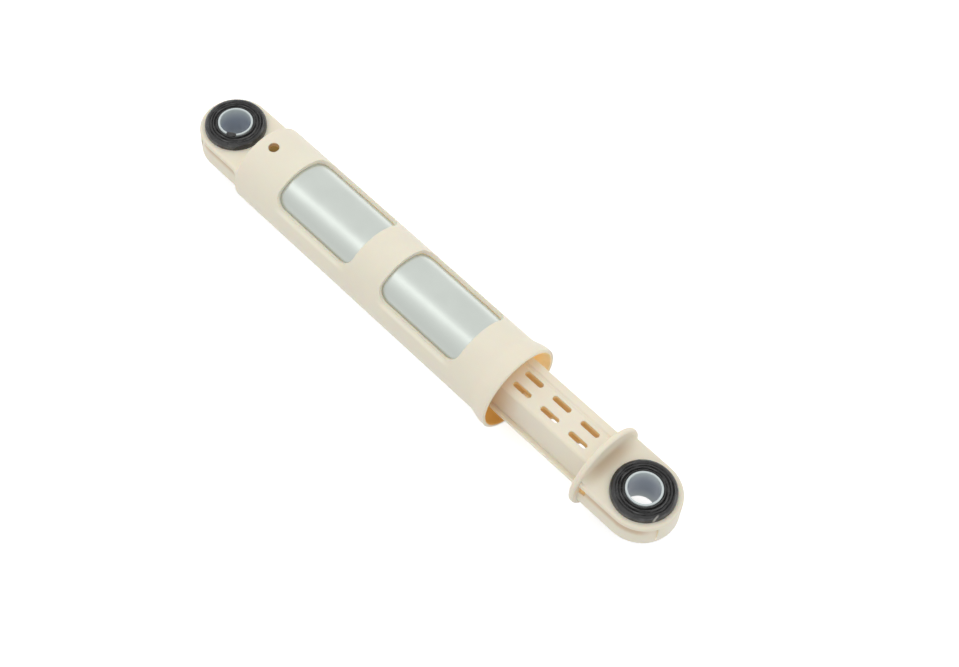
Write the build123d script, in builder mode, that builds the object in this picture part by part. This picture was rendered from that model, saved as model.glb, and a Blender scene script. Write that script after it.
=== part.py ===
from build123d import *
import os

# Friction damper arm of a washing machine.
# A plastic housing is moulded around a steel tube, and a slotted plastic rod slides in the tube.
# Each end has an eye with a rubber bush and a plastic sleeve for a pin.
# Sizes are in millimetres.
# The origin is the centre of the housing eye, X runs to the rod eye and Z along the eye bores.

# Arm
eye_spacing = 183.2        # centre to centre with the rod partly out

# Eyes, bushes and sleeves
bore_radius = 5.0          # takes a 10 mm pin
sleeve_wall = 0.7
sleeve_length = 15.0
plate_thickness = 10.0     # eye plate, face to face
flange_thickness = 1.6     # rim of the eye plate over the groove
bush_wall = 2.1            # rubber between the sleeve and the eye
bush_collar_radius = 10.1  # rubber collar that lies on the plate
bush_collar_height = 2.3
bush_shoulder = 1.0
bush_ring_depth = 0.45     # grooves in the face of the rubber collar
bush_ring_width = 0.55
eye_ring_wall = 3.1        # plastic ring that holds the bush
housing_groove = 0.9       # depth under the rim of the housing eye
rod_groove = 1.1           # depth under the rim of the rod eye
groove_height = 5.4        # from the rim to where the groove runs out
groove_over = 0.2          # share by which the groove's slope is carried past the wall
housing_groove_turn = 120  # degrees about the eye, where the groove starts
rod_groove_turn = 25       # degrees about the eye, where the groove ends
groove_stop = 1.5          # end of the housing groove to the barrel
groove_round = 1.5         # round end of that groove
flare_length = 3.5         # stretch over which the housing plate widens to the barrel
pocket_length = 2.2        # deeper end of the rod groove, beside the stop collar
pocket_depth = 2.6
pocket_height = 3.6
eye_edge_round = 0.8

# Housing and steel tube
tube_radius = 12.7
tube_wall = 0.6
tube_length = 98.0
housing_wall = 1.3
eye_to_barrel = 4.9        # rubber collar to the closed end of the barrel
end_wall = 3.0
end_room = 6.0             # plastic chamber between the end wall and the tube
vent_radius = 1.8
vent_inset = 2.6
barrel_turn = 3.3          # windows and vent, degrees about the arm
stop_rib_length = 2.0      # inner rib that keeps the piston in
mouth_length = 10.0        # from the tube to the lip
lip_land = 1.4
lip_flare = 1.2
lip_round = 0.5
barrel_round = 0.8
window_inset = 9.0         # from the start of the tube to the first window
window_end_inset = 6.7     # from the second window to the end of the tube
window_band = 12.9         # plastic band between two windows
window_half_angle = 56.5   # degrees
window_corner = 4.4

# Rod
collar_to_eye = 4.5        # rubber collar to the stop collar
collar_thickness = 1.9
collar_inset = 0.95        # stop collar is this much smaller than the lip
collar_round = 0.7
root_round = 2.0           # between the stop collar and the eye plate
box_width = 12.8
box_height = 14.2
box_wall = 1.6
box_corner = 1.0
rail_height = 1.2          # rails along one top edge and the opposite bottom edge
rail_round = 0.4
rail_clearance = 1.4       # rail to steel tube
rib_clearance = 0.45       # rail to the stop rib
line_radius = 0.8          # shallow round groove beside each rail
line_depth = 0.3
line_inset = 1.6
slot_length = 7.1
slot_width = 1.9
slot_corner = 0.9
slot_pitch = 11.65
slot_spacing = 5.2         # between the two columns
slot_margin = 4.4          # last slot to the stop collar
slot_start_margin = 8.0    # piston to the first slot
rod_end_wall = 2.0

# Piston and friction lining
piston_clearance = 0.35
piston_flange = 2.4
end_clearance = 5.7        # rod to the end wall with the collar on the lip
lining_length = 20.0
lining_thickness = 2.3
lining_fit = 0.05          # radial running clearance, inside and outside
lining_play = 0.3          # along the arm, each side
lining_split = 1.0         # gap where the strip's ends meet

# Places that follow from the sizes above
sleeve_radius = bore_radius + sleeve_wall
bush_radius = sleeve_radius + bush_wall
ring_radius = bush_radius + eye_ring_wall
housing_eye_radius = ring_radius + housing_groove
rod_eye_radius = ring_radius + rod_groove
plate_half = plate_thickness / 2
groove_top = plate_half - flange_thickness
groove_low = groove_top - (1 + groove_over) * groove_height
tube_inner = tube_radius - tube_wall
body_radius = tube_radius + housing_wall
root_half = (body_radius ** 2 - plate_half ** 2) ** 0.5
barrel_start = bush_collar_radius + eye_to_barrel
chamber_start = barrel_start + end_wall
plate_end = barrel_start + end_wall / 3
tube_start = chamber_start + end_room
tube_end = tube_start + tube_length
window_length = (tube_length - window_inset - window_end_inset - window_band) / 2
rib_end = tube_end + stop_rib_length
lip_end = tube_end + mouth_length
lip_radius = body_radius + lip_flare
lip_inner = lip_radius - housing_wall
rail_half = ((tube_inner - rail_clearance) ** 2 - (box_height / 2) ** 2) ** 0.5
rod_half = max(rail_half, box_width / 2)
rib_radius = (rod_half ** 2 + (box_height / 2) ** 2) ** 0.5 + rib_clearance
collar_front = eye_spacing - bush_collar_radius - collar_to_eye
collar_back = collar_front - collar_thickness
collar_radius = lip_radius - collar_inset
rod_start = chamber_start + (collar_back - lip_end) + end_clearance
seat_length = lining_length + 2 * lining_play
piston_front = rod_start + 2 * piston_flange + seat_length
piston_radius = tube_inner - piston_clearance
lining_outer = tube_inner - lining_fit
lining_inner = lining_outer - lining_thickness
seat_radius = lining_inner - lining_fit
slot_run = collar_back - slot_margin - piston_front - slot_start_margin
slot_rows = int(slot_run / slot_pitch)
slot_middle = collar_back - slot_margin - slot_length / 2 - (slot_rows - 1) * slot_pitch / 2

os.makedirs("parts", exist_ok=True)

# Tool that cuts one window: a ring sector with rounded corners, its sides along the radius.
with BuildPart() as window_tool:
    with BuildSketch(Plane.YZ):
        with BuildLine():
            CenterArc((0, 0), tube_inner, 90 - window_half_angle, 2 * window_half_angle)
            CenterArc((0, 0), lip_radius, 90 - window_half_angle, 2 * window_half_angle)
            for side in (-1, 1):
                turn = 90 + side * window_half_angle
                inner = Vector(tube_inner, 0).rotate(Axis.Z, turn)
                outer = Vector(lip_radius, 0).rotate(Axis.Z, turn)
                Line(inner, outer)
        make_face()
    extrude(amount=window_length)
    radial = window_tool.edges().filter_by(GeomType.LINE).filter_by(Axis.X, reverse=True)
    fillet(radial, window_corner)

# Tool that cuts the groove along one side of the housing eye: deep under the rim and running out below.
with BuildPart() as housing_groove_tool:
    with BuildSketch(Plane.XZ):
        with BuildLine():
            groove_first = Vector(housing_eye_radius, 0).rotate(Axis.Z, housing_groove_turn).X
            groove_last = barrel_start - groove_stop
            Polyline(
                (groove_first, groove_top),
                (groove_first, groove_low),
                (groove_last, groove_low),
                (groove_last, groove_top),
                close=True,
            )
        make_face()
    extrude(amount=2 * housing_eye_radius)
    fillet(housing_groove_tool.edges().filter_by(Axis.Y).group_by(Axis.X)[-1].sort_by(Axis.Z)[-1], groove_round)
    for level, reach in (
        (groove_low, housing_eye_radius + groove_over * housing_groove),
        (groove_top, housing_eye_radius - housing_groove),
    ):
        with BuildSketch(Plane.XY.offset(level)):
            Circle(reach)
            Rectangle(barrel_start, 2 * reach, align=(Align.MIN, Align.CENTER))
    loft(ruled=True, mode=Mode.SUBTRACT)

# Tool that cuts the groove along one side of the rod eye, with a pocket beside the stop collar.
with BuildPart() as rod_groove_tool:
    with BuildSketch(Plane.XZ):
        with Locations((collar_front, groove_top)):
            groove_run = Vector(rod_eye_radius, 0).rotate(Axis.Z, rod_groove_turn).X
            Rectangle(
                eye_spacing - collar_front + groove_run,
                groove_top - groove_low,
                align=(Align.MIN, Align.MAX),
            )
    extrude(amount=2 * rod_eye_radius)
    for level, reach in (
        (groove_low, rod_eye_radius + groove_over * rod_groove),
        (groove_top, rod_eye_radius - rod_groove),
    ):
        with BuildSketch(Plane.XY.offset(level)):
            with Locations((eye_spacing, 0)):
                Circle(reach)
                Rectangle(eye_spacing - collar_front, 2 * reach, align=(Align.MAX, Align.CENTER))
    loft(ruled=True, mode=Mode.SUBTRACT)
    with BuildSketch(Plane.XZ.offset(rod_eye_radius - pocket_depth)):
        with Locations((collar_front, groove_top)):
            Rectangle(pocket_length, pocket_height, align=(Align.MIN, Align.MAX))
    extrude(amount=2 * pocket_depth)

with BuildPart() as housing:
    # Eye plate: a round end, and sides that widen where they meet the barrel.
    with BuildSketch(Plane.XY.offset(-plate_half)):
        with BuildLine():
            CenterArc((0, 0), housing_eye_radius, 90, 90)
            Line((0, housing_eye_radius), (barrel_start - flare_length, housing_eye_radius))
            TangentArc(
                (barrel_start - flare_length, housing_eye_radius),
                (plate_end, root_half),
                tangent=(1, 0),
            )
            Line((plate_end, root_half), (plate_end, 0))
            mirror(about=Plane.XZ)
        make_face()
    extrude(amount=plate_thickness)
    fillet(housing.faces().filter_by(Axis.Z).edges().filter_by(Axis.Y, reverse=True), eye_edge_round)
    for turn in (0, 180):
        add(housing_groove_tool.part, rotation=(turn, 0, 0), mode=Mode.SUBTRACT)
    # Barrel: closed end, seat for the tube, stop rib and flared mouth.
    with BuildSketch(Plane.XZ) as barrel:
        with BuildLine():
            Polyline((chamber_start, 0), (barrel_start, 0), (barrel_start, body_radius), (rib_end, body_radius))
            Spline(
                (rib_end, body_radius),
                (lip_end - lip_land, lip_radius),
                tangents=((1, 0), (1, 0)),
            )
            Polyline(
                (lip_end - lip_land, lip_radius),
                (lip_end, lip_radius),
                (lip_end, lip_inner),
                (lip_end - lip_land, lip_inner),
            )
            Spline(
                (lip_end - lip_land, lip_inner),
                (rib_end, tube_radius),
                tangents=((-1, 0), (-1, 0)),
            )
            Polyline(
                (rib_end, tube_radius),
                (rib_end, rib_radius),
                (tube_end, rib_radius),
                (tube_end, tube_radius),
                (tube_start, tube_radius),
                (tube_start, tube_inner),
                (chamber_start, tube_inner),
                (chamber_start, 0),
            )
        make_face()
        fillet(barrel.vertices().group_by(Axis.X)[-1], lip_round)
        fillet(barrel.vertices().group_by(Axis.X)[0].sort_by(Axis.Y)[-1], barrel_round)
    revolve(axis=Axis.X)
    # Two windows above and two below.
    for first in (tube_start + window_inset, tube_start + window_inset + window_length + window_band):
        with Locations((first, 0, 0)):
            for turn in (0, 180):
                add(window_tool.part, rotation=(turn + barrel_turn, 0, 0), mode=Mode.SUBTRACT)
    # Vent into the end chamber.
    vent_plane = Plane.XY.rotated((barrel_turn, 0, 0)).move(Location((chamber_start + vent_inset, 0, 0)))
    with BuildSketch(vent_plane):
        Circle(vent_radius)
    extrude(amount=lip_radius, mode=Mode.SUBTRACT)
    # Hole for the bush.
    with BuildSketch(Plane.XY.offset(-plate_half)):
        Circle(bush_radius)
    extrude(amount=plate_thickness, mode=Mode.SUBTRACT)

with BuildPart() as steel_tube:
    with BuildSketch(Plane.YZ.offset(tube_start)):
        Circle(tube_radius)
        Circle(tube_inner, mode=Mode.SUBTRACT)
    extrude(amount=tube_length)

with BuildPart() as rod:
    # Eye plate.
    with BuildSketch(Plane.XY.offset(-plate_half)):
        with Locations((eye_spacing, 0)):
            Circle(rod_eye_radius)
            Rectangle(
                eye_spacing - collar_back - collar_thickness / 2,
                2 * rod_eye_radius,
                align=(Align.MAX, Align.CENTER),
            )
    extrude(amount=plate_thickness)
    fillet(rod.faces().filter_by(Axis.Z).edges(), eye_edge_round)
    # Stop collar.
    with BuildSketch(Plane.XZ) as collar:
        with Locations((collar_back, 0)):
            Rectangle(collar_thickness, collar_radius, align=(Align.MIN, Align.MIN))
        fillet(collar.vertices().group_by(Axis.Y)[-1], collar_round)
    revolve(axis=Axis.X)
    # Rounded root between the collar and the plate, above and below, then the groove.
    with BuildSketch(Plane.XZ):
        with BuildLine():
            Polyline(
                (collar_front, plate_half + root_round),
                (collar_front, 0),
                (collar_front + root_round, 0),
                (collar_front + root_round, plate_half),
            )
            CenterArc((collar_front + root_round, plate_half + root_round), root_round, 180, 90)
        make_face()
        mirror(about=Plane.XZ)
    extrude(amount=rod_eye_radius - eye_edge_round, both=True)
    for turn in (0, 180):
        add(rod_groove_tool.part, rotation=(turn, 0, 0), mode=Mode.SUBTRACT)
    # Box section with a rail at the top on one side and at the bottom on the other.
    with BuildSketch(Plane.YZ.offset(piston_front - piston_flange)):
        RectangleRounded(box_width, box_height, box_corner)
        with Locations((0, box_height / 2)):
            RectangleRounded(rail_half, rail_height, rail_round, align=(Align.MIN, Align.MAX))
        with Locations((0, -box_height / 2)):
            RectangleRounded(rail_half, rail_height, rail_round, align=(Align.MAX, Align.MIN))
        for side in (-1, 1):
            line_level = box_height / 2 + line_radius - line_depth
            with Locations((side * (box_width / 2 - line_inset), side * line_level)):
                Circle(line_radius, mode=Mode.SUBTRACT)
    extrude(amount=collar_back - piston_front + piston_flange + collar_thickness / 2)
    # Piston: two flanges and the seat of the lining.
    with BuildSketch(Plane.XZ):
        with BuildLine():
            Polyline(
                (rod_start, 0),
                (rod_start, piston_radius),
                (rod_start + piston_flange, piston_radius),
                (rod_start + piston_flange, seat_radius),
                (piston_front - piston_flange, seat_radius),
                (piston_front - piston_flange, piston_radius),
                (piston_front, piston_radius),
                (piston_front, 0),
                close=True,
            )
        make_face()
    revolve(axis=Axis.X)
    # Hollow core, open at the piston end.
    with BuildSketch(Plane.YZ.offset(rod_start)):
        Rectangle(box_width - 2 * box_wall, box_height - 2 * box_wall)
    extrude(amount=collar_back - rod_end_wall - rod_start, mode=Mode.SUBTRACT)
    # Slots through the top and bottom walls.
    with BuildSketch(Plane.XY.offset(-box_height)):
        with Locations((slot_middle, 0)):
            with GridLocations(slot_pitch, slot_spacing, slot_rows, 2):
                RectangleRounded(slot_length, slot_width, slot_corner)
    extrude(amount=2 * box_height, mode=Mode.SUBTRACT)
    # Hole for the bush.
    with BuildSketch(Plane.XY.offset(-plate_half)):
        with Locations((eye_spacing, 0)):
            Circle(bush_radius)
    extrude(amount=plate_thickness, mode=Mode.SUBTRACT)

# Foam strip wrapped round the piston, its ends a small gap apart.
with BuildPart() as friction_lining:
    with BuildSketch(Plane.YZ.offset(rod_start + piston_flange + lining_play)):
        Circle(lining_outer)
        Circle(lining_inner, mode=Mode.SUBTRACT)
        Rectangle(lining_split, 2 * tube_radius, align=(Align.CENTER, Align.MIN), mode=Mode.SUBTRACT)
    extrude(amount=lining_length)

# Rubber bush: a neck in the eye and a ringed collar on each side of the plate.
bush_top = plate_half + bush_collar_height
ring_step = (bush_collar_radius - sleeve_radius) / 4
with BuildPart() as housing_eye_bush:
    with BuildSketch(Plane.XZ) as bush_profile:
        with Locations(((sleeve_radius + bush_radius) / 2, 0)):
            Rectangle(bush_wall, 2 * bush_top)
        for side in (-1, 1):
            with Locations(((sleeve_radius + bush_collar_radius) / 2, side * (plate_half + bush_collar_height / 2))):
                Rectangle(bush_collar_radius - sleeve_radius, bush_collar_height)
        outer = bush_profile.vertices().group_by(Axis.X)[-1]
        fillet(outer.group_by(Axis.Y)[0] + outer.group_by(Axis.Y)[-1], bush_shoulder)
        for side in (-1, 1):
            for step in (1, 2):
                with Locations((sleeve_radius + step * ring_step, side * bush_top)):
                    Rectangle(bush_ring_width, 2 * bush_ring_depth, mode=Mode.SUBTRACT)
    revolve(axis=Axis.Z)

with BuildPart() as rod_eye_bush:
    with Locations((eye_spacing, 0, 0)):
        add(housing_eye_bush.part)

# Sleeve pressed in the bush.
with BuildPart() as housing_eye_sleeve:
    with BuildSketch(Plane.XY.offset(-sleeve_length / 2)):
        Circle(sleeve_radius)
        Circle(bore_radius, mode=Mode.SUBTRACT)
    extrude(amount=sleeve_length)

with BuildPart() as rod_eye_sleeve:
    with Locations((eye_spacing, 0, 0)):
        add(housing_eye_sleeve.part)

housing.part.label = "housing"
steel_tube.part.label = "steel_tube"
rod.part.label = "rod"
friction_lining.part.label = "friction_lining"
housing_eye_bush.part.label = "housing_eye_bush"
housing_eye_sleeve.part.label = "housing_eye_sleeve"
rod_eye_bush.part.label = "rod_eye_bush"
rod_eye_sleeve.part.label = "rod_eye_sleeve"

export_step(housing.part, "parts/housing.step")
export_step(steel_tube.part, "parts/steel_tube.step")
export_step(rod.part, "parts/rod.step")
export_step(friction_lining.part, "parts/friction_lining.step")
export_step(housing_eye_bush.part, "parts/housing_eye_bush.step")
export_step(housing_eye_sleeve.part, "parts/housing_eye_sleeve.step")
export_step(rod_eye_bush.part, "parts/rod_eye_bush.step")
export_step(rod_eye_sleeve.part, "parts/rod_eye_sleeve.step")
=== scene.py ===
from math import pi, radians

import bmesh
import bpy
import numpy as np
from bpy.props import FloatProperty, FloatVectorProperty, IntProperty, PointerProperty
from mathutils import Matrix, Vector


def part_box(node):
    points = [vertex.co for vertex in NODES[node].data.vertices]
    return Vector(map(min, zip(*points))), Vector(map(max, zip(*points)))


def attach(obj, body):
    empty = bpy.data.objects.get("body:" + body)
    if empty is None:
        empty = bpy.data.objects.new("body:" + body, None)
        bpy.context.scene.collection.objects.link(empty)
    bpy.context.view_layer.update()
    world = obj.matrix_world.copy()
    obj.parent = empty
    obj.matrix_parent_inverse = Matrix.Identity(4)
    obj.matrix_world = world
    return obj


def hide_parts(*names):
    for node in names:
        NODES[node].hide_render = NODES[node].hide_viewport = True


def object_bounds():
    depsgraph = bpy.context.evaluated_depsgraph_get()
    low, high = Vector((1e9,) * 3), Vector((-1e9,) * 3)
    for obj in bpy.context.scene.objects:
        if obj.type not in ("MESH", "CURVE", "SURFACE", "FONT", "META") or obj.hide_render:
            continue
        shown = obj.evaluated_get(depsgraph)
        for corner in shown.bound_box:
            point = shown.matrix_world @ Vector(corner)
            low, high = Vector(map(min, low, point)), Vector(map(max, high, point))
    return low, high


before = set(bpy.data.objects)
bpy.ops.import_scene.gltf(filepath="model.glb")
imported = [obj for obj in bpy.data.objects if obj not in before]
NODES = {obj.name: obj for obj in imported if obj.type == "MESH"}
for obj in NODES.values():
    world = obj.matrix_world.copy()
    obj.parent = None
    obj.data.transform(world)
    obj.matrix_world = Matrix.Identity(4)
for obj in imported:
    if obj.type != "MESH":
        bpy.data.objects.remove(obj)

bl_info = {
    "name": "Suspension Arm",
    "version": (1, 0, 0),
    "blender": (4, 5, 0),
    "location": "View3D > Sidebar > Suspension Arm",
    "description": "Dresses a telescopic damper arm: moulded plastic, plated tube, rubber bushes and sleeves",
    "category": "Object",
}

CAD_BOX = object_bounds()
EYES = {
    "housing": (np.array(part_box("housing_eye_sleeve")).mean(axis=0), "housing_body"),
    "rod": (np.array(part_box("rod_eye_sleeve")).mean(axis=0), "rod_body"),
}

# Strength of the painted warm shade and glow colour in the housing, where the open barrel has one
CLOSED_END_WARMTH = 0.35
LIP_WARMTH = 0.1
VENT_WARMTH = 0.6

# Strength of the light in the hollows, where the lip and the slots have one
BEHIND_LIP_LIGHT = 2.0
LOW_SIDE_LIGHT = 0.45
POCKET_LIGHT = 1.8
GROOVE_END_LIGHT = 2.6

# Strength of the shade in the eye grooves and at the collar's foot
GROOVE_SHADE = 0.85
FOOT_SHADE = 0.8

# Shares of a groove's depth: where its shade starts, is full and stops, and how soft its limits are
GROOVE_START = 0.26
GROOVE_FULL = 0.6
GROOVE_LIMIT = 1.2
GROOVE_SOFT = 0.05

# Share of a groove's run over which its shade fades, before and after its end
RUN_FADE = 0.25

# Shares of a painted rim highlight's width: the stretch over which it rises, and half of that over which it
# falls
RIM_RISE = 0.45
RIM_FALL = 0.25

# Height of the shade on the collar, as a share of its reach along the plate
FOOT_RISE = 1.4

# Painted highlight on window rims and the rod's lower rail, and painted shade on one side of the steel tube
PAINTED_HIGHLIGHT_GAIN = 1.13
STEEL_SHADE_GAIN = 0.88
STEEL_SHADE_FULL = radians(-50.0)
STEEL_SHADE_START = radians(-25.0)

# Rubber: how much finer its grain is across the rings, and how light its bloom and its painted highlight arcs
# are
RING_STRETCH = 9.0
BLOOM_GAIN = 1.8
ARC_HIGHLIGHT_GAIN = 4.2

# Turned pieces: points on the collar's face and shoulder, and on the sleeve's wall and rims
FACE_STEPS = 120
SHOULDER_STEPS = 14
WALL_STEPS = 24
RIM_STEPS = 6

# Collar's face: where its rings would end, as a share of its width, and its drop as a share of their depth
RING_REACH = 1.2
FACE_DROP = 0.5

# Nub: points along and round it, half its width over the sleeve's wall, and how far it sinks in
NUB_STEPS = 25
NUB_SIDES = 20
NUB_WIDTH = 1.15
NUB_SINK = 0.4

# Points closer than this, in metres, are one point
MERGE_DISTANCE = 1e-7

# Samples of the softened edges, and the camera's sensor in millimetres
EDGE_SAMPLES = 3
SENSOR_WIDTH = 36.0


def half_span(node, axis):
    """Half of a node's size along one axis."""
    low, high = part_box(node)
    return (high[axis] - low[axis]) / 2


def length(name, description, default):
    """A length setting, in metres."""
    return FloatProperty(name=name, description=description, default=default, unit="LENGTH", precision=5)


def angle(name, description, degrees):
    """An angle setting, given in degrees."""
    return FloatProperty(name=name, description=description, default=radians(degrees), subtype="ANGLE")


def colour(name, description, default):
    """A colour setting, in linear light."""
    return FloatVectorProperty(name=name, description=description, default=default, subtype="COLOR")


def number(name, description, default):
    """A plain number setting."""
    return FloatProperty(name=name, description=description, default=default)


def point(name, description, default):
    """A place setting, in metres."""
    return FloatVectorProperty(name=name, description=description, default=default, subtype="XYZ")


def panel_size(name, description, default):
    """The two sides of a lamp, in metres."""
    return FloatVectorProperty(name=name, description=description, default=default, size=2, unit="LENGTH")


class ArmSizes(bpy.types.PropertyGroup):
    """Sizes of the pieces shaped here, and of the places that the scuff and the painted glow, shade and
    highlights follow.
    """

    sleeve_wall: length("Sleeve Wall", "Wall of the plastic sleeve", 0.0007)
    sleeve_edge: length("Sleeve Edge", "Rounding of the sleeve's rim", 0.00025)
    bore_shade: length("Bore Shade", "Depth at which the sleeve's bore turns dark", 0.005)
    plate_half: length("Plate Half", "Half the thickness of an eye plate", 0.005)
    bush_neck: length("Bush Neck", "Radius of the rubber inside the eye", 0.0078)
    bush_shoulder: length("Bush Shoulder", "Rounding of the rubber collar's outer edge", 0.0014)
    ring_depth: length("Ring Depth", "Depth of the rings in the rubber collar", 0.0006)
    ring_pitch: length("Ring Pitch", "Distance from one rubber ring to the next", 0.00098)
    nub_turn: angle("Nub Turn", "Where rubber lies over the sleeve's rim", -55.0)
    nub_spread: angle("Nub Spread", "Half the stretch of rim under that rubber", 19.0)
    nub_height: length("Nub Height", "Half the thickness of that rubber", 0.0005)
    scuff_along: length("Scuff Along", "Place of the scuff along the arm, from the rod eye's middle", 0.0087)
    scuff_across: length("Scuff Across", "Place of the scuff across the arm", -0.0046)
    scuff_length: length("Scuff Length", "Length of the scuff", 0.0022)
    scuff_width: length("Scuff Width", "Width of the scuff", 0.00036)
    housing_wall: length("Housing Wall", "Wall of the barrel", 0.0013)
    end_wall: length("End Wall", "Middle of the barrel's closed end wall, from the eye's middle", 0.0165)
    # Painted warm shade and glow: where the colour inside the barrel grows and where it is full, past the end
    # wall
    warm_start: length("Warm Start", "Where the barrel's colour starts to grow, past the end wall", 0.01)
    warm_full: length("Warm Full", "Where the barrel's colour is full, past the end wall", 0.05)
    lip_land: length("Lip Land", "Straight end of the mouth", 0.0014)
    barrel_turn: angle("Barrel Turn", "Turn of the windows about the arm", -3.3)
    window_half: angle("Window Half", "Half the stretch of a window round the barrel", 56.5)
    window_inset: length("Window Inset", "From the tube's start to the first window", 0.009)
    window_end: length("Window End", "From the last window to the tube's end", 0.0067)
    window_band: length("Window Band", "Band between two windows", 0.0129)
    # Painted highlight along a window's long sides, lighter where light catches the rim
    rim_highlight_width: length("Rim Width", "Rubbed rim along a window's sides", 0.0028)
    rib_length: length("Rib Length", "Stop rib past the tube's end", 0.002)
    vent_along: length("Vent Along", "Middle of the vent along the arm", 0.0206)
    vent_across: length("Vent Across", "Middle of the vent across the arm", -0.0008)
    vent_radius: length("Vent Radius", "Radius of the vent", 0.0018)
    core_half: length("Core Half", "Half the width of the rod's core", 0.0048)
    box_wall: length("Box Wall", "Wall of the rod's box section", 0.0016)
    slot_reach: length("Slot Reach", "Outer edge of the slots from the rod's middle", 0.00355)
    box_half: length("Box Half", "Half the height of the rod's box section", 0.0071)
    rail_inner: length("Rail Inner", "Where the rod's rails start, from its middle", 0.0068)
    # Painted highlight: the lower rail is lighter than the upper one, where light falls on it
    rail_highlight_fade: length("Rail Fade", "Half the step from the lower rail's finish to the upper rail's", 0.001)
    collar_back: length("Collar Back", "Rear face of the stop collar", 0.1667)
    collar_front: length("Collar Front", "Front face of the stop collar", 0.1686)
    foot_length: length("Foot Length", "Reach of the shaded corner at the collar's foot", 0.0044)
    pocket_length: length("Pocket Length", "Pocket of the eye plate beside the collar", 0.0022)
    rod_eye_half: length("Rod Eye Half", "Half the width of the rod's eye plate", 0.012)
    housing_eye_half: length("Housing Eye Half", "Half the width of the housing's eye plate", 0.0118)
    groove_top: length("Groove Top", "Top of the groove in the eye plate's side", 0.0034)
    groove_depth: length("Groove Depth", "Depth of the groove under its top edge", 0.0011)
    rod_groove_run: length("Rod Groove Run", "Where the rod groove's shade fades, past its eye", 0.0085)
    rod_groove_end: length("Rod Groove End", "End face of the rod's groove, past its eye", 0.010876)
    housing_groove_run: length("Housing Groove Run", "Where the housing's shade fades, past its eye", 0.004)
    housing_groove_end: length("Housing Groove End", "Where the housing's groove stops", 0.0135)
    edge_round: length("Edge Round", "Softened edges of the mouldings", 0.0003)
    round_steps: IntProperty(name="Round Steps", description="Steps round a turned piece", default=192)


class ArmColours(bpy.types.PropertyGroup):
    """Colours of the finishes, and of the painted glow, shade and highlights."""

    plastic: colour("Plastic", "Cream moulded plastic", (0.835, 0.78, 0.645))
    # Painted warm shade and glow: the mouth colour stands in for shade inside the barrel and light through
    # its wall
    mouth: colour("Mouth", "Plastic inside the barrel", (0.66, 0.33, 0.06))
    mouth_light: colour("Mouth Light", "Light that comes through the barrel's wall", (1.0, 0.63, 0.18))
    # Painted glow and shade: the slots colour stands in for shade in the rod's core and light through its
    # walls
    slots: colour("Slots", "Plastic inside the rod, lit through its walls", (0.84, 0.64, 0.33))
    # Painted shade: the colour deep in the eye grooves and in the corner at the collar's foot
    groove: colour("Groove", "Plastic deep in grooves and corners", (0.63, 0.48, 0.32))
    steel: colour("Steel", "Zinc plated tube", (0.60, 0.64, 0.60))
    rubber: colour("Rubber", "Black bush rubber", (0.021, 0.021, 0.021))
    scuff: colour("Scuff", "Pale scuff on the rubber", (0.36, 0.35, 0.32))
    sleeve: colour("Sleeve", "Milky sleeve plastic", (0.60, 0.66, 0.66))
    # Painted shade: the sleeve's colour deep in its bore, darker where shade falls
    bore: colour("Bore", "Sleeve plastic deep in the bore", (0.40, 0.45, 0.53))
    foam: colour("Foam", "Greased friction lining", (0.16, 0.12, 0.07))
    mouth_glow: number("Mouth Glow", "Strength of the light that comes through the barrel", 0.2)
    slot_glow: number("Slot Glow", "Strength of the light that comes through the rod", 0.11)


class ArmStage(bpy.types.PropertyGroup):
    """Camera, floor and lamps."""

    camera_place: point("Camera Place", "Where the camera stands", (0.30678, -0.21365, 0.46995))
    camera_turn: FloatVectorProperty(
        name="Camera Turn",
        description="Turn of the camera",
        subtype="EULER",
        default=(radians(32.0), radians(-2.357), radians(45.797)),
    )
    camera_lens: number("Lens", "Focal length in millimetres", 67.27)
    floor_size: FloatProperty(name="Floor Size", description="Side of the floor", default=6.0, unit="LENGTH")
    floor_tone: colour("Floor Tone", "Colour of the floor", (0.76, 0.76, 0.76))
    floor_glow: number("Floor Glow", "Whiteness that the floor shows the camera", 0.62)
    lamp_target: point("Lamp Target", "What the lamps face", (0.09, 0.0, 0.0))
    key_place: point("Key Place", "Where the long lamp on the left hangs", (-0.36, -0.34, 0.82))
    key_size: panel_size("Key Size", "Sides of the long lamp", (0.15, 0.9))
    key_power: number("Key Power", "Power of the long lamp on the left", 0.44)
    top_place: point("Top Place", "Where the wide lamp overhead hangs", (-0.20, 0.30, 0.95))
    top_size: panel_size("Top Size", "Sides of the wide lamp", (1.0, 1.0))
    top_power: number("Top Power", "Power of the wide lamp overhead", 1.95)
    world_light: number("World Light", "Strength of the light all round", 0.83)


def join(tree, source, target):
    """Links one socket to another."""
    tree.links.new(source, target)


def feed(tree, socket, value):
    """Links a value that is a socket to an input, or sets the input to a plain value."""
    if isinstance(value, bpy.types.NodeSocket):
        join(tree, value, socket)
    else:
        socket.default_value = value


def put(tree, kind, **values):
    """Adds a node and feeds each value to the input of that name."""
    node = tree.nodes.new(kind)
    for key, value in values.items():
        feed(tree, node.inputs[key.replace("_", " ")], value)
    return node


def maths(tree, operation, *values):
    """One Math node on sockets or numbers."""
    node = tree.nodes.new("ShaderNodeMath")
    node.operation = operation
    for slot, value in enumerate(values):
        feed(tree, node.inputs[slot], value)
    return node.outputs[0]


def product(tree, first, *others):
    """All the values multiplied together."""
    for other in others:
        first = maths(tree, "MULTIPLY", first, other)
    return first


def distance(tree, first, second):
    """Root of the sum of two squares."""
    squares = maths(tree, "ADD", maths(tree, "POWER", first, 2.0), maths(tree, "POWER", second, 2.0))
    return maths(tree, "SQRT", squares)


def turn_about_arm(tree, y, z):
    """Angle about the arm, nought at its top and at its bottom: the arc tangent of y over z."""
    return maths(tree, "ARCTANGENT", maths(tree, "DIVIDE", y, z))


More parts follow.
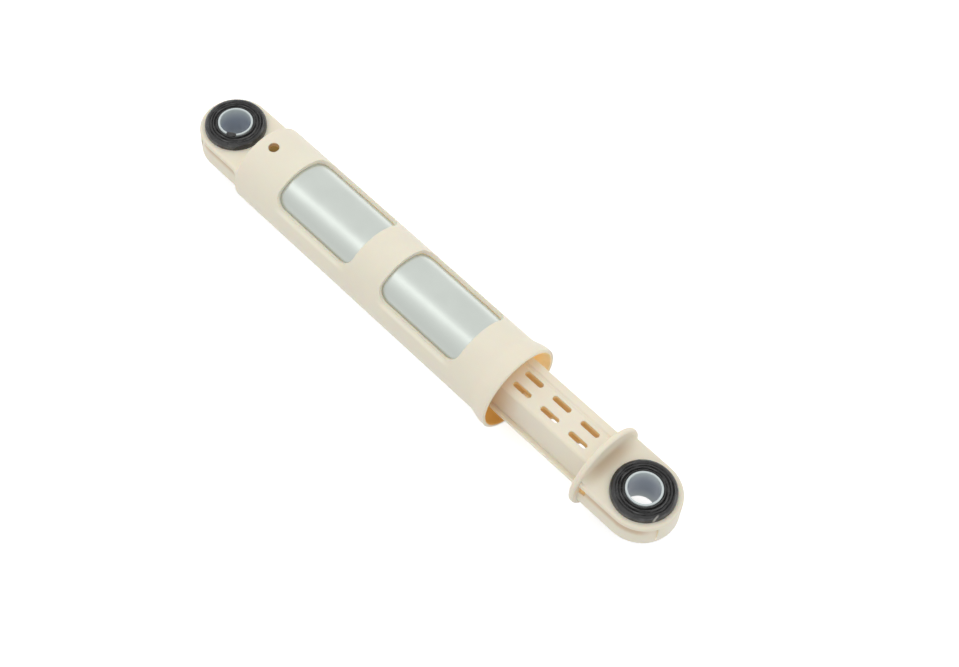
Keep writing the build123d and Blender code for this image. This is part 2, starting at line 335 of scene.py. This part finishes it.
def ramp(tree, value, low, high, out_low=0.0, out_high=1.0):
    """Smooth step of a value from low to high."""
    node = put(
        tree, "ShaderNodeMapRange", Value=value, From_Min=low, From_Max=high, To_Min=out_low, To_Max=out_high
    )
    node.interpolation_type = "SMOOTHSTEP"
    return node.outputs["Result"]


def under(tree, value, limit, soft):
    """One where a value is below a limit and nought above it, with a soft step between."""
    return ramp(tree, value, limit - soft, limit + soft, 1.0, 0.0)


def blend_colour(tree, factor, first, second):
    """Mixes two colours by a factor."""
    node = tree.nodes.new("ShaderNodeMix")
    node.data_type = "RGBA"
    for slot, value in ((0, factor), (6, first), (7, second)):
        feed(tree, node.inputs[slot], value)
    return node.outputs[2]


def colour4(setting, gain=1.0):
    """A colour setting as four numbers, made lighter or darker by a gain."""
    return (*(min(1.0, c * gain) for c in setting), 1.0)


def clouded(tree, clouds, setting, low_gain, high_gain):
    """A colour that drifts between a darker and a lighter gain with the clouds."""
    drift = ramp(tree, clouds, 0.3, 0.7)
    return blend_colour(tree, drift, colour4(setting, low_gain), colour4(setting, high_gain))


def start_material(name):
    """An empty material with its shader and the object's own coordinates."""
    material = bpy.data.materials.new(name)
    material.use_nodes = True
    tree = material.node_tree
    shader = tree.nodes["Principled BSDF"]
    place = tree.nodes.new("ShaderNodeTexCoord").outputs["Object"]
    return material, tree, shader, place


def axes(tree, place):
    """The x, y and z of a place."""
    return tuple(put(tree, "ShaderNodeSeparateXYZ", Vector=place).outputs)


def noise(tree, place, scale, detail, stretch=None):
    """Noise on the object's coordinates, stretched along an axis where asked."""
    if stretch is not None:
        place = put(tree, "ShaderNodeMapping", Vector=place, Scale=stretch).outputs["Vector"]
    return put(tree, "ShaderNodeTexNoise", Vector=place, Scale=scale, Detail=detail).outputs["Fac"]


def bump(tree, shader, height, strength, depth, edge_round=None):
    """Fine relief on a shader, over edges that are softened where asked."""
    node = put(tree, "ShaderNodeBump", Height=height, Strength=strength, Distance=depth)
    if edge_round is not None:
        softened = put(tree, "ShaderNodeBevel", Radius=edge_round)
        softened.samples = EDGE_SAMPLES
        join(tree, softened.outputs["Normal"], node.inputs["Normal"])
    join(tree, node.outputs["Normal"], shader.inputs["Normal"])


def housing_painted_glow(tree, sizes, x, y, z):
    """The painted warm shade and glow colour inside the barrel, its flared mouth and the vent, and the
    painted light inside the barrel.

    Both are nought outside and weaker at the closed end. On the side of high y the colour is weaker towards
    the lip. The light is stronger behind the lip, and weaker on the side of low y."""
    fine = sizes.housing_wall / 10
    seat = half_span("steel_tube", 1)
    tube_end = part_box("steel_tube")[1][0]
    rib_end = tube_end + sizes.rib_length
    lip_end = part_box("housing")[1][0]
    lip_flare = half_span("housing", 1) - seat - sizes.housing_wall
    across = distance(tree, y, z)
    flare = ramp(tree, x, rib_end, lip_end - sizes.lip_land, seat, seat + lip_flare)
    slack = ramp(tree, x, tube_end - fine, tube_end + fine, 0.0, 2 * fine)
    room = maths(tree, "SUBTRACT", maths(tree, "ADD", flare, slack), across)
    growth = ramp(
        tree, x, sizes.end_wall + sizes.warm_start, sizes.end_wall + sizes.warm_full, CLOSED_END_WARMTH, 1.0
    )
    past_end = ramp(tree, x, sizes.end_wall, sizes.end_wall + fine)
    barrel = product(tree, ramp(tree, room, -fine, 0.0), past_end, growth)
    high_side = ramp(tree, y, -seat / 2, seat / 2)
    light = product(
        tree,
        barrel,
        ramp(tree, x, rib_end, lip_end, BEHIND_LIP_LIGHT, 1.0),
        ramp(tree, high_side, 0.0, 1.0, LOW_SIDE_LIGHT, 1.0),
    )
    lip_side = product(tree, high_side, ramp(tree, x, tube_end, lip_end))
    barrel = product(tree, barrel, ramp(tree, lip_side, 0.0, 1.0, 1.0, LIP_WARMTH))
    aside = distance(
        tree,
        maths(tree, "SUBTRACT", x, sizes.vent_along),
        maths(tree, "SUBTRACT", y, sizes.vent_across),
    )
    # Painted shade in the vent: part of the mouth colour, with no glow
    vent = product(
        tree,
        under(tree, aside, sizes.vent_radius + fine, fine),
        under(tree, across, seat + sizes.housing_wall - fine, fine),
        VENT_WARMTH,
    )
    return maths(tree, "MAXIMUM", barrel, vent), light


def rod_painted_glow(tree, sizes, x, side, level):
    """Painted warm glow and shade: one in the core and the slots of the box section, more in the pockets by
    the collar, nought outside.

    The side and the level are the distances from the rod's middle, across it and up or down."""
    fine = sizes.housing_wall / 10
    core = product(
        tree,
        under(tree, side, sizes.core_half + fine, fine),
        under(tree, level, sizes.box_half - sizes.box_wall + fine, fine),
    )
    slots = product(
        tree,
        under(tree, side, sizes.slot_reach + fine, fine),
        under(tree, level, sizes.box_half - 3 * fine, 2 * fine),
    )
    box = product(tree, maths(tree, "MAXIMUM", core, slots), under(tree, x, sizes.collar_back, fine))
    # Painted glow and shade in the pockets beside the collar, stronger than in the slots
    pocket = product(
        tree,
        ramp(tree, x, sizes.collar_front - fine, sizes.collar_front),
        under(tree, x, sizes.collar_front + sizes.pocket_length, sizes.pocket_length),
        under(tree, side, sizes.rod_eye_half - 6 * fine, 6 * fine),
        under(tree, level, sizes.groove_top, sizes.housing_wall / 2),
        POCKET_LIGHT,
    )
    return maths(tree, "MAXIMUM", box, pocket)


def eye_groove(tree, sizes, beyond, y, level, half, run):
    """Shade deep in the groove along an eye plate's side, fading where it runs out into the wall.

    The depth is the plate's half width less the distance from the eye's middle, or from the middle line
    on the straight side. The way beyond the eye's middle is measured outwards along the arm."""
    soft = GROOVE_SOFT * sizes.groove_depth
    depth = maths(tree, "SUBTRACT", half, distance(tree, maths(tree, "MAXIMUM", beyond, 0.0), y))
    start = GROOVE_START * sizes.groove_depth
    full = GROOVE_FULL * sizes.groove_depth
    return product(
        tree,
        ramp(tree, depth, start, full, 0.0, GROOVE_SHADE),
        under(tree, depth, GROOVE_LIMIT * sizes.groove_depth, soft),
        under(tree, level, sizes.groove_top, soft),
        under(tree, beyond, run, RUN_FADE * run),
    )


def window_rim_highlights(tree, sizes, x, y, z):
    """Painted highlight: one along the two long sides of each window, a little way out from its edge, nought
    elsewhere.

    The way out is the turn past the window's half angle times the barrel's radius."""
    width = sizes.rim_highlight_width
    radius = half_span("steel_tube", 1) + sizes.housing_wall
    tube_start, tube_end = (corner[0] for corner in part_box("steel_tube"))
    first = tube_start + sizes.window_inset
    last = tube_end - sizes.window_end
    half_length = (last - first - sizes.window_band) / 4
    turn = maths(tree, "SUBTRACT", turn_about_arm(tree, y, z), sizes.barrel_turn)
    past = maths(tree, "SUBTRACT", maths(tree, "ABSOLUTE", turn), sizes.window_half)
    out = maths(tree, "MULTIPLY", past, radius)
    from_band = maths(tree, "ABSOLUTE", maths(tree, "SUBTRACT", x, (first + last) / 2))
    from_middle = maths(tree, "SUBTRACT", from_band, sizes.window_band / 2 + half_length)
    return product(
        tree,
        ramp(tree, out, 0.0, RIM_RISE * width),
        under(tree, out, width - RIM_FALL * width, RIM_FALL * width),
        under(tree, maths(tree, "ABSOLUTE", from_middle), half_length - width, width),
    )


def collar_foot(tree, sizes, x, side, level):
    """Shade in the corner between the collar and the eye plate, fading up the collar and along the plate."""
    reach = sizes.foot_length / 2
    rise = FOOT_RISE * reach
    return product(
        tree,
        ramp(tree, x, sizes.collar_front - reach / 10, sizes.collar_front),
        under(tree, x, sizes.collar_front + reach, reach),
        under(tree, level, sizes.plate_half + rise, rise),
        under(tree, side, sizes.rod_eye_half - 2 * reach, 2 * reach),
        FOOT_SHADE,
    )


def groove_end(tree, sizes, x, level):
    """Painted glow that lightens the end face of the rod's groove, nought elsewhere."""
    edge = sizes.groove_depth / 10
    face = EYES["rod"][0][0] + sizes.rod_groove_end
    away = maths(tree, "ABSOLUTE", maths(tree, "SUBTRACT", x, face))
    return product(
        tree,
        under(tree, away, edge / 2, edge / 4),
        under(tree, level, sizes.groove_top, edge),
        GROOVE_END_LIGHT,
    )


def housing_masks(tree, sizes, x, y, z):
    """The housing's painted warm shade and glow, the painted light in its hollows, its painted groove shade
    and the painted highlight on its window rims.
    """
    beyond = maths(tree, "MULTIPLY", x, -1.0)
    level = maths(tree, "ABSOLUTE", z)
    groove = eye_groove(tree, sizes, beyond, y, level, sizes.housing_eye_half, sizes.housing_groove_run)
    shade = product(tree, groove, under(tree, x, sizes.housing_groove_end, sizes.groove_depth / 10))
    painted_warmth, light = housing_painted_glow(tree, sizes, x, y, z)
    return painted_warmth, light, shade, window_rim_highlights(tree, sizes, x, y, z)


def rod_masks(tree, sizes, x, y, z):
    """The rod's painted warm glow and shade, the painted light in its hollows, its painted shade in grooves
    and at the collar foot, and the painted highlight on its lower rail.
    """
    edge = sizes.groove_depth / 10
    side = maths(tree, "ABSOLUTE", y)
    level = maths(tree, "ABSOLUTE", z)
    beyond = maths(tree, "SUBTRACT", x, EYES["rod"][0][0])
    groove = eye_groove(tree, sizes, beyond, y, level, sizes.rod_eye_half, sizes.rod_groove_run)
    groove = product(tree, groove, ramp(tree, x, sizes.collar_front, sizes.collar_front + edge))
    shade = maths(tree, "MAXIMUM", groove, collar_foot(tree, sizes, x, side, level))
    # Painted highlight on the lower rail, where light falls on it
    rail = product(
        tree,
        ramp(tree, side, sizes.rail_inner, sizes.rail_inner + sizes.groove_depth),
        under(tree, x, sizes.collar_back, edge),
        under(tree, z, 0.0, sizes.rail_highlight_fade),
    )
    painted_warmth = rod_painted_glow(tree, sizes, x, side, level)
    light = maths(tree, "MAXIMUM", painted_warmth, groove_end(tree, sizes, x, level))
    return painted_warmth, light, shade, rail


def cream_plastic(name, context, masks, warm, light, glow):
    """Satin moulding: cream with faint clouds and a fine grain, soft edges, and painted warm glow and light
    in its hollows.

    The masks give its painted warm glow and shade, the painted light in its hollows, its painted shade in
    corners and its painted highlights on edges."""
    sizes, colours = context.scene.arm_sizes, context.scene.arm_colours
    material, tree, shader, place = start_material(name)
    painted_warmth, lit, shade, painted_highlight = masks(tree, sizes, *axes(tree, place))
    clouds = noise(tree, place, scale=55.0, detail=4.0)
    tone = clouded(tree, clouds, colours.plastic, low_gain=0.98, high_gain=1.01)
    # Painted highlight, painted shade and painted warm glow over the plastic's own clouded tone
    tone = blend_colour(tree, painted_highlight, tone, colour4(colours.plastic, PAINTED_HIGHLIGHT_GAIN))
    tone = blend_colour(tree, shade, tone, colour4(colours.groove))
    tone = blend_colour(tree, painted_warmth, tone, colour4(warm))
    join(tree, tone, shader.inputs["Base Color"])
    join(tree, ramp(tree, clouds, 0.2, 0.8, 0.42, 0.52), shader.inputs["Roughness"])
    shader.inputs["Specular IOR Level"].default_value = 0.35
    shader.inputs["Subsurface Weight"].default_value = 0.35
    shader.inputs["Subsurface Radius"].default_value = (1.0, 0.55, 0.25)
    shader.inputs["Subsurface Scale"].default_value = 0.002
    # Painted glow: emission that stands in for light through the plastic
    shader.inputs["Emission Color"].default_value = colour4(light)
    join(tree, maths(tree, "MULTIPLY", lit, glow), shader.inputs["Emission Strength"])
    grain = noise(tree, place, scale=2600.0, detail=2.0)
    bump(tree, shader, grain, strength=0.08, depth=0.0001, edge_round=sizes.edge_round)
    return material


def zinc_steel(name, context):
    """Plated tube: soft clouds in the zinc, fine lines along the tube, a broad sheen and painted shade on one
    side.
    """
    colours = context.scene.arm_colours
    material, tree, shader, place = start_material(name)
    clouds = noise(tree, place, scale=120.0, detail=5.0)
    drawn = noise(tree, place, scale=500.0, detail=2.0, stretch=(0.03, 1.0, 1.0))
    y, z = axes(tree, place)[1:]
    # Painted shade: the steel is darker on one side of the tube
    pale_side = ramp(tree, turn_about_arm(tree, y, z), STEEL_SHADE_FULL, STEEL_SHADE_START)
    tone = clouded(tree, clouds, colours.steel, low_gain=0.98, high_gain=1.02)
    tone = blend_colour(tree, pale_side, colour4(colours.steel, STEEL_SHADE_GAIN), tone)
    join(tree, tone, shader.inputs["Base Color"])
    shader.inputs["Metallic"].default_value = 1.0
    join(tree, ramp(tree, drawn, 0.3, 0.7, 0.29, 0.31), shader.inputs["Roughness"])
    bump(tree, shader, drawn, strength=0.006, depth=0.00005)
    return material


def ring_grain(tree, x, y):
    """Noise drawn out along the rings of each bush: it changes faster with the radius than round the eye.

    The radius is taken from the middle of the eye that a point belongs to."""
    rod_x = EYES["rod"][0][0]
    half_way, step = rod_x / 2, rod_x / 10
    eye_x = ramp(tree, x, half_way - step, half_way + step, 0.0, rod_x)
    along = maths(tree, "SUBTRACT", x, eye_x)
    radius = maths(tree, "MULTIPLY", distance(tree, along, y), RING_STRETCH)
    place = put(tree, "ShaderNodeCombineXYZ", X=radius, Y=along, Z=y).outputs["Vector"]
    return noise(tree, place, scale=190.0, detail=3.0)


def scuff_streak(tree, sizes, x, y, z):
    """One on a short streak across the upper collar of the rod's bush, nought elsewhere."""
    centre = EYES["rod"][0]
    aside = maths(tree, "SUBTRACT", x, centre[0] + sizes.scuff_along)
    away = maths(tree, "SUBTRACT", y, centre[1] + sizes.scuff_across)
    return product(
        tree,
        under(tree, maths(tree, "ABSOLUTE", aside), sizes.scuff_width / 2, sizes.scuff_width / 2),
        under(tree, maths(tree, "ABSOLUTE", away), sizes.scuff_length / 2, sizes.scuff_length / 4),
        ramp(tree, z, 0.0, sizes.plate_half),
    )


def black_rubber(name, context):
    """Moulded rubber: near black, with a faint bloom in patches, painted highlight arcs along its rings and a
    scuff.
    """
    sizes, colours = context.scene.arm_sizes, context.scene.arm_colours
    material, tree, shader, place = start_material(name)
    x, y, z = axes(tree, place)
    bloom = ramp(tree, noise(tree, place, scale=260.0, detail=5.0), 0.45, 0.75)
    rings = ring_grain(tree, x, y)
    tone = blend_colour(tree, bloom, colour4(colours.rubber), colour4(colours.rubber, BLOOM_GAIN))
    # Painted highlight: lighter arcs where the ring grain is high
    tone = blend_colour(tree, ramp(tree, rings, 0.52, 0.72), tone, colour4(colours.rubber, ARC_HIGHLIGHT_GAIN))
    tone = blend_colour(tree, scuff_streak(tree, sizes, x, y, z), tone, colour4(colours.scuff))
    join(tree, tone, shader.inputs["Base Color"])
    join(tree, ramp(tree, bloom, 0.0, 1.0, 0.24, 0.38), shader.inputs["Roughness"])
    shader.inputs["Specular IOR Level"].default_value = 0.5
    bump(tree, shader, rings, strength=1.0, depth=0.0006)
    return material


def milky_plastic(name, context):
    """Sleeve plastic: milky and smooth, with a pale rim and painted shade that darkens the bore."""
    colours = context.scene.arm_colours
    material, tree, shader, place = start_material(name)
    clouds = noise(tree, place, scale=300.0, detail=3.0)
    tone = clouded(tree, clouds, colours.sleeve, low_gain=0.98, high_gain=1.02)
    # Painted shade: the bore turns darker with depth
    shade = tree.nodes.new("ShaderNodeAttribute")
    shade.attribute_name = "bore_shade"
    tone = blend_colour(tree, shade.outputs["Fac"], tone, colour4(colours.bore))
    join(tree, tone, shader.inputs["Base Color"])
    join(tree, ramp(tree, clouds, 0.2, 0.8, 0.30, 0.33), shader.inputs["Roughness"])
    shader.inputs["Specular IOR Level"].default_value = 0.3
    bump(tree, shader, noise(tree, place, scale=900.0, detail=2.0), strength=0.015, depth=0.0001)
    return material


def greased_foam(name, context):
    """Open foam: dark cells with wet grease between them."""
    colours = context.scene.arm_colours
    material, tree, shader, place = start_material(name)
    cells = put(tree, "ShaderNodeTexVoronoi", Vector=place, Scale=1400.0).outputs["Distance"]
    dry = ramp(tree, cells, 0.1, 0.6)
    tone = blend_colour(tree, dry, colour4(colours.foam, 0.5), colour4(colours.foam, 1.4))
    join(tree, tone, shader.inputs["Base Color"])
    join(tree, ramp(tree, cells, 0.1, 0.6, 0.35, 0.8), shader.inputs["Roughness"])
    bump(tree, shader, cells, strength=0.6, depth=0.0003)
    return material


def dress(node, material):
    """Gives a CAD node its finish."""
    slots = NODES[node].data.materials
    slots.clear()
    slots.append(material)


def grid_mesh(name, grid, wrap_rows, wrap_columns):
    """A smooth mesh from a grid of points, with quads between neighbours and round each wrapped way."""
    rows, columns = grid.shape[:2]
    row = np.arange(rows if wrap_rows else rows - 1)[:, None]
    column = np.arange(columns if wrap_columns else columns - 1)[None, :]
    next_row, next_column = (row + 1) % rows, (column + 1) % columns
    corners = (row * columns + column, row * columns + next_column)
    corners += (next_row * columns + next_column, next_row * columns + column)
    quads = np.stack(corners, axis=-1).reshape(-1, 4)
    points = grid.reshape(-1, 3)
    mesh = bpy.data.meshes.new(name)
    mesh.vertices.add(len(points))
    mesh.vertices.foreach_set("co", points.astype(np.float32).ravel())
    mesh.loops.add(quads.size)
    mesh.loops.foreach_set("vertex_index", quads.astype(np.int32).ravel())
    mesh.polygons.add(len(quads))
    mesh.polygons.foreach_set("loop_start", np.arange(0, quads.size, 4, dtype=np.int32))
    mesh.update(calc_edges=True)
    mesh.polygons.foreach_set("use_smooth", np.ones(len(quads), dtype=bool))
    return mesh


def close_up(mesh):
    """Merges points that coincide and turns the faces outwards."""
    shape = bmesh.new()
    shape.from_mesh(mesh)
    bmesh.ops.remove_doubles(shape, verts=shape.verts, dist=MERGE_DISTANCE)
    bmesh.ops.recalc_face_normals(shape, faces=shape.faces)
    shape.to_mesh(mesh)
    shape.free()


def link_object(name, data):
    """A new object on the scene."""
    thing = bpy.data.objects.new(name, data)
    bpy.context.scene.collection.objects.link(thing)
    return thing


def place_piece(name, mesh, material, body, node=None):
    """Links a new piece, puts it on its body and hides the CAD node that it stands for."""
    close_up(mesh)
    piece = link_object(name, mesh)
    mesh.materials.append(material)
    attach(piece, body)
    if node:
        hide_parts(node)


def turned(profile, centre, steps):
    """A profile of (radius, height) pairs carried round the upright axis through a centre.

    Each point goes to x = centre + radius cos t and y = centre + radius sin t, at its own height."""
    turn = np.linspace(0.0, 2.0 * pi, steps, endpoint=False)[:, None]
    radius, height = profile[None, :, 0], profile[None, :, 1]
    x = centre[0] + radius * np.cos(turn)
    y = centre[1] + radius * np.sin(turn)
    z = centre[2] + height + 0.0 * turn
    return np.stack((x, y, z), axis=-1)


def arc(middle, radius, start, end, steps):
    """Points on an arc about a middle, from one angle to another in degrees."""
    turn = np.radians(np.linspace(start, end, steps))
    return np.stack((middle[0] + radius * np.cos(turn), middle[1] + radius * np.sin(turn)), axis=-1)


def sleeve_profile(sizes, outer, top):
    """Closed section of the sleeve: two straight walls joined by rounded rims."""
    inner, edge = outer - sizes.sleeve_wall, sizes.sleeve_edge
    level = np.linspace(top - edge, edge - top, WALL_STEPS)[1:-1]
    pieces = (
        arc((outer - edge, top - edge), edge, 0, 90, RIM_STEPS),
        arc((inner + edge, top - edge), edge, 90, 180, RIM_STEPS),
        np.stack((np.full_like(level, inner), level), axis=-1),
        arc((inner + edge, edge - top), edge, 180, 270, RIM_STEPS),
        arc((outer - edge, edge - top), edge, 270, 360, RIM_STEPS),
    )
    return np.concatenate(pieces)


def bush_profile(sizes, inner, outer, top):
    """Closed section of the rubber: a neck in the eye and a collar on each side.

    The collar's face carries rounded rings, the size of a sine of the radius, that grow shallower outwards.
    The face also drops with the square of the way out, to meet a round shoulder and a straight side."""
    shoulder = sizes.bush_shoulder
    radius = np.linspace(inner, outer - shoulder, FACE_STEPS)
    share = (radius - inner) / (outer - shoulder - inner)
    rings = np.abs(np.sin(pi * (radius - inner) / sizes.ring_pitch))
    face = top - sizes.ring_depth * (1.0 - rings) * np.sqrt(np.clip(RING_REACH - share, 0.0, 1.0))
    face = face - sizes.ring_depth * FACE_DROP * share ** 2
    upper = np.concatenate(
        (
            np.stack((radius, face), axis=-1),
            arc((outer - shoulder, top - shoulder), shoulder, 80, 0, SHOULDER_STEPS),
            [[outer, sizes.plate_half], [sizes.bush_neck, sizes.plate_half]],
        )
    )
    return np.concatenate((upper, upper[::-1] * (1.0, -1.0)))


def nub_grid(sizes, centre, radius, top):
    """A flat bead bent along the sleeve's rim: an ellipse carried round the eye's axis.

    Its size is the root of one minus the square of the way from its middle, so it closes at both ends."""
    way = np.linspace(-1.0, 1.0, NUB_STEPS)[:, None]
    turn = np.linspace(0.0, 2.0 * pi, NUB_SIDES, endpoint=False)[None, :]
    size = np.sqrt(np.clip(1.0 - way ** 2, 0.0, 1.0))
    reach = radius + NUB_WIDTH * sizes.sleeve_wall * size * np.cos(turn)
    bearing = sizes.nub_turn + sizes.nub_spread * way
    x = centre[0] + reach * np.cos(bearing)
    y = centre[1] + reach * np.sin(bearing)
    z = centre[2] + top + sizes.nub_height * (size * np.sin(turn) - NUB_SINK)
    return np.stack((x, y, z), axis=-1)


class ARM_OT_housing(bpy.types.Operator):
    """Finish the housing"""

    bl_idname = "arm.housing"
    bl_label = "Housing"

    def execute(self, context):
        colours = context.scene.arm_colours
        # Painted warm shade and glow inside the barrel, from the mouth colour, light and glow
        finish = (colours.mouth, colours.mouth_light, colours.mouth_glow)
        dress("housing", cream_plastic("Housing plastic", context, housing_masks, *finish))
        return {"FINISHED"}


class ARM_OT_steel_tube(bpy.types.Operator):
    """Finish the steel tube"""

    bl_idname = "arm.steel_tube"
    bl_label = "Steel Tube"

    def execute(self, context):
        dress("steel_tube", zinc_steel("Zinc steel", context))
        return {"FINISHED"}


class ARM_OT_rod(bpy.types.Operator):
    """Finish the rod"""

    bl_idname = "arm.rod"
    bl_label = "Rod"

    def execute(self, context):
        colours = context.scene.arm_colours
        # Painted warm glow and shade inside the rod, from the slots colour and glow
        finish = (colours.slots, colours.slots, colours.slot_glow)
        dress("rod", cream_plastic("Rod plastic", context, rod_masks, *finish))
        return {"FINISHED"}


class ARM_OT_lining(bpy.types.Operator):
    """Finish the friction lining"""

    bl_idname = "arm.lining"
    bl_label = "Friction Lining"

    def execute(self, context):
        dress("friction_lining", greased_foam("Greased foam", context))
        return {"FINISHED"}


class ARM_OT_bushes(bpy.types.Operator):
    """Shape the rubber bush of each eye, and the nub of rubber on the housing's sleeve"""

    bl_idname = "arm.bushes"
    bl_label = "Rubber Bushes"

    def execute(self, context):
        sizes = context.scene.arm_sizes
        rubber = black_rubber("Black rubber", context)
        for eye, (centre, body) in EYES.items():
            node = eye + "_eye_bush"
            bore = half_span(eye + "_eye_sleeve", 0)
            section = bush_profile(sizes, bore, half_span(node, 0), half_span(node, 2))
            mesh = grid_mesh(node + "_rubber", turned(section, centre, sizes.round_steps), True, True)
            place_piece(node + "_rubber", mesh, rubber, body, node)
        centre, body = EYES["housing"]
        rim = half_span("housing_eye_sleeve", 0) - sizes.sleeve_wall / 2
        grid = nub_grid(sizes, centre, rim, half_span("housing_eye_sleeve", 2))
        place_piece("rubber_nub", grid_mesh("rubber_nub", grid, False, True), rubber, body)
        return {"FINISHED"}


class ARM_OT_sleeves(bpy.types.Operator):
    """Shape the sleeve of each eye"""

    bl_idname = "arm.sleeves"
    bl_label = "Sleeves"

    def execute(self, context):
        sizes = context.scene.arm_sizes
        milky = milky_plastic("Milky plastic", context)
        for eye, (centre, body) in EYES.items():
            node = eye + "_eye_sleeve"
            outer, top = half_span(node, 0), half_span(node, 2)
            section = sleeve_profile(sizes, outer, top)
            mesh = grid_mesh(node + "_ring", turned(section, centre, sizes.round_steps), True, True)
            depth = np.clip((top - np.abs(section[:, 1])) / sizes.bore_shade, 0.0, 1.0)
            shade = depth * (section[:, 0] < outer - sizes.sleeve_wall / 2)
            values = np.tile(shade, sizes.round_steps).astype(np.float32)
            mesh.attributes.new("bore_shade", "FLOAT", "POINT").data.foreach_set("value", values)
            place_piece(node + "_ring", mesh, milky, body, node)
        return {"FINISHED"}


def area_lamp(name, place, target, size, power):
    """A rectangular lamp at a place, facing a target."""
    lamp = bpy.data.lights.new(name, "AREA")
    lamp.shape = "RECTANGLE"
    lamp.size, lamp.size_y = size
    lamp.energy = power
    stand = link_object(name, lamp)
    stand.location = place
    stand.rotation_euler = (Vector(place) - Vector(target)).to_track_quat("Z", "Y").to_euler()
    return stand


def seen_directly(tree):
    """One for rays from the camera, off gloss or through glass."""
    path = tree.nodes.new("ShaderNodeLightPath")
    seen = maths(tree, "MAXIMUM", path.outputs["Is Camera Ray"], path.outputs["Is Glossy Ray"])
    return maths(tree, "MAXIMUM", seen, path.outputs["Is Transmission Ray"])


def floor_material(tone, glow):
    """Pale floor that is white where it is lit and keeps the arm's soft shadow."""
    material = bpy.data.materials.new("Studio floor")
    material.use_nodes = True
    tree = material.node_tree
    shader = tree.nodes["Principled BSDF"]
    shader.inputs["Base Color"].default_value = colour4(tone)
    shader.inputs["Roughness"].default_value = 0.9
    shader.inputs["Specular IOR Level"].default_value = 0.0
    shader.inputs["Emission Color"].default_value = (1.0, 1.0, 1.0, 1.0)
    join(tree, maths(tree, "MULTIPLY", seen_directly(tree), glow), shader.inputs["Emission Strength"])
    return material


def add_floor(stage):
    """A square floor, level with the lowest point of the arm."""
    side = np.array((-0.5, 0.5)) * stage.floor_size
    x, y = np.meshgrid(side, side, indexing="ij")
    z = np.full_like(x, CAD_BOX[0][2])
    mesh = grid_mesh("floor", np.stack((x, y, z), axis=-1), False, False)
    mesh.materials.append(floor_material(stage.floor_tone, stage.floor_glow))
    link_object("floor", mesh)


def light_world(scene, strength):
    """White light all round, which shows as plain white to the camera."""
    scene.world = scene.world or bpy.data.worlds.new("World")
    scene.world.use_nodes = True
    tree = scene.world.node_tree
    background = tree.nodes["Background"]
    background.inputs["Color"].default_value = (1.0, 1.0, 1.0, 1.0)
    seen = ramp(tree, seen_directly(tree), 0.0, 1.0, strength, 1.0)
    join(tree, seen, background.inputs["Strength"])


def add_camera(scene, stage):
    """The camera, at the arm's viewing angle."""
    camera = bpy.data.cameras.new("Camera")
    camera.lens = stage.camera_lens
    camera.sensor_width = SENSOR_WIDTH
    stand = link_object("Camera", camera)
    stand.location = stage.camera_place
    stand.rotation_euler = stage.camera_turn
    scene.camera = stand


class ARM_OT_stage(bpy.types.Operator):
    """Set the floor, the lamps and the camera"""

    bl_idname = "arm.stage"
    bl_label = "Stage"

    def execute(self, context):
        scene = context.scene
        stage = scene.arm_stage
        scene.view_settings.view_transform = "Standard"
        add_floor(stage)
        light_world(scene, stage.world_light)
        area_lamp("Key lamp", stage.key_place, stage.lamp_target, stage.key_size, stage.key_power)
        top = area_lamp("Top lamp", stage.top_place, stage.lamp_target, stage.top_size, stage.top_power)
        top.visible_glossy = False
        add_camera(scene, stage)
        return {"FINISHED"}


STEPS = (
    ARM_OT_housing,
    ARM_OT_steel_tube,
    ARM_OT_rod,
    ARM_OT_lining,
    ARM_OT_bushes,
    ARM_OT_sleeves,
    ARM_OT_stage,
)


class ARM_PT_sidebar(bpy.types.Panel):
    """Steps that dress the arm"""

    bl_idname = "ARM_PT_sidebar"
    bl_label = "Suspension Arm"
    bl_space_type = "VIEW_3D"
    bl_region_type = "UI"
    bl_category = "Suspension Arm"

    def draw(self, context):
        for step in STEPS:
            self.layout.operator(step.bl_idname)


CLASSES = (ArmSizes, ArmColours, ArmStage, *STEPS, ARM_PT_sidebar)


def register():
    """Registers the classes and puts the settings on the scene."""
    for entry in CLASSES:
        bpy.utils.register_class(entry)
    bpy.types.Scene.arm_sizes = PointerProperty(type=ArmSizes)
    bpy.types.Scene.arm_colours = PointerProperty(type=ArmColours)
    bpy.types.Scene.arm_stage = PointerProperty(type=ArmStage)


def unregister():
    """Takes the settings and the classes away again."""
    del bpy.types.Scene.arm_stage
    del bpy.types.Scene.arm_colours
    del bpy.types.Scene.arm_sizes
    for entry in reversed(CLASSES):
        bpy.utils.unregister_class(entry)


def main():
    """Dresses the arm step by step."""
    register()
    for step in STEPS:
        group, name = step.bl_idname.split(".")
        getattr(getattr(bpy.ops, group), name)()


if __name__ == "__main__":
    main()
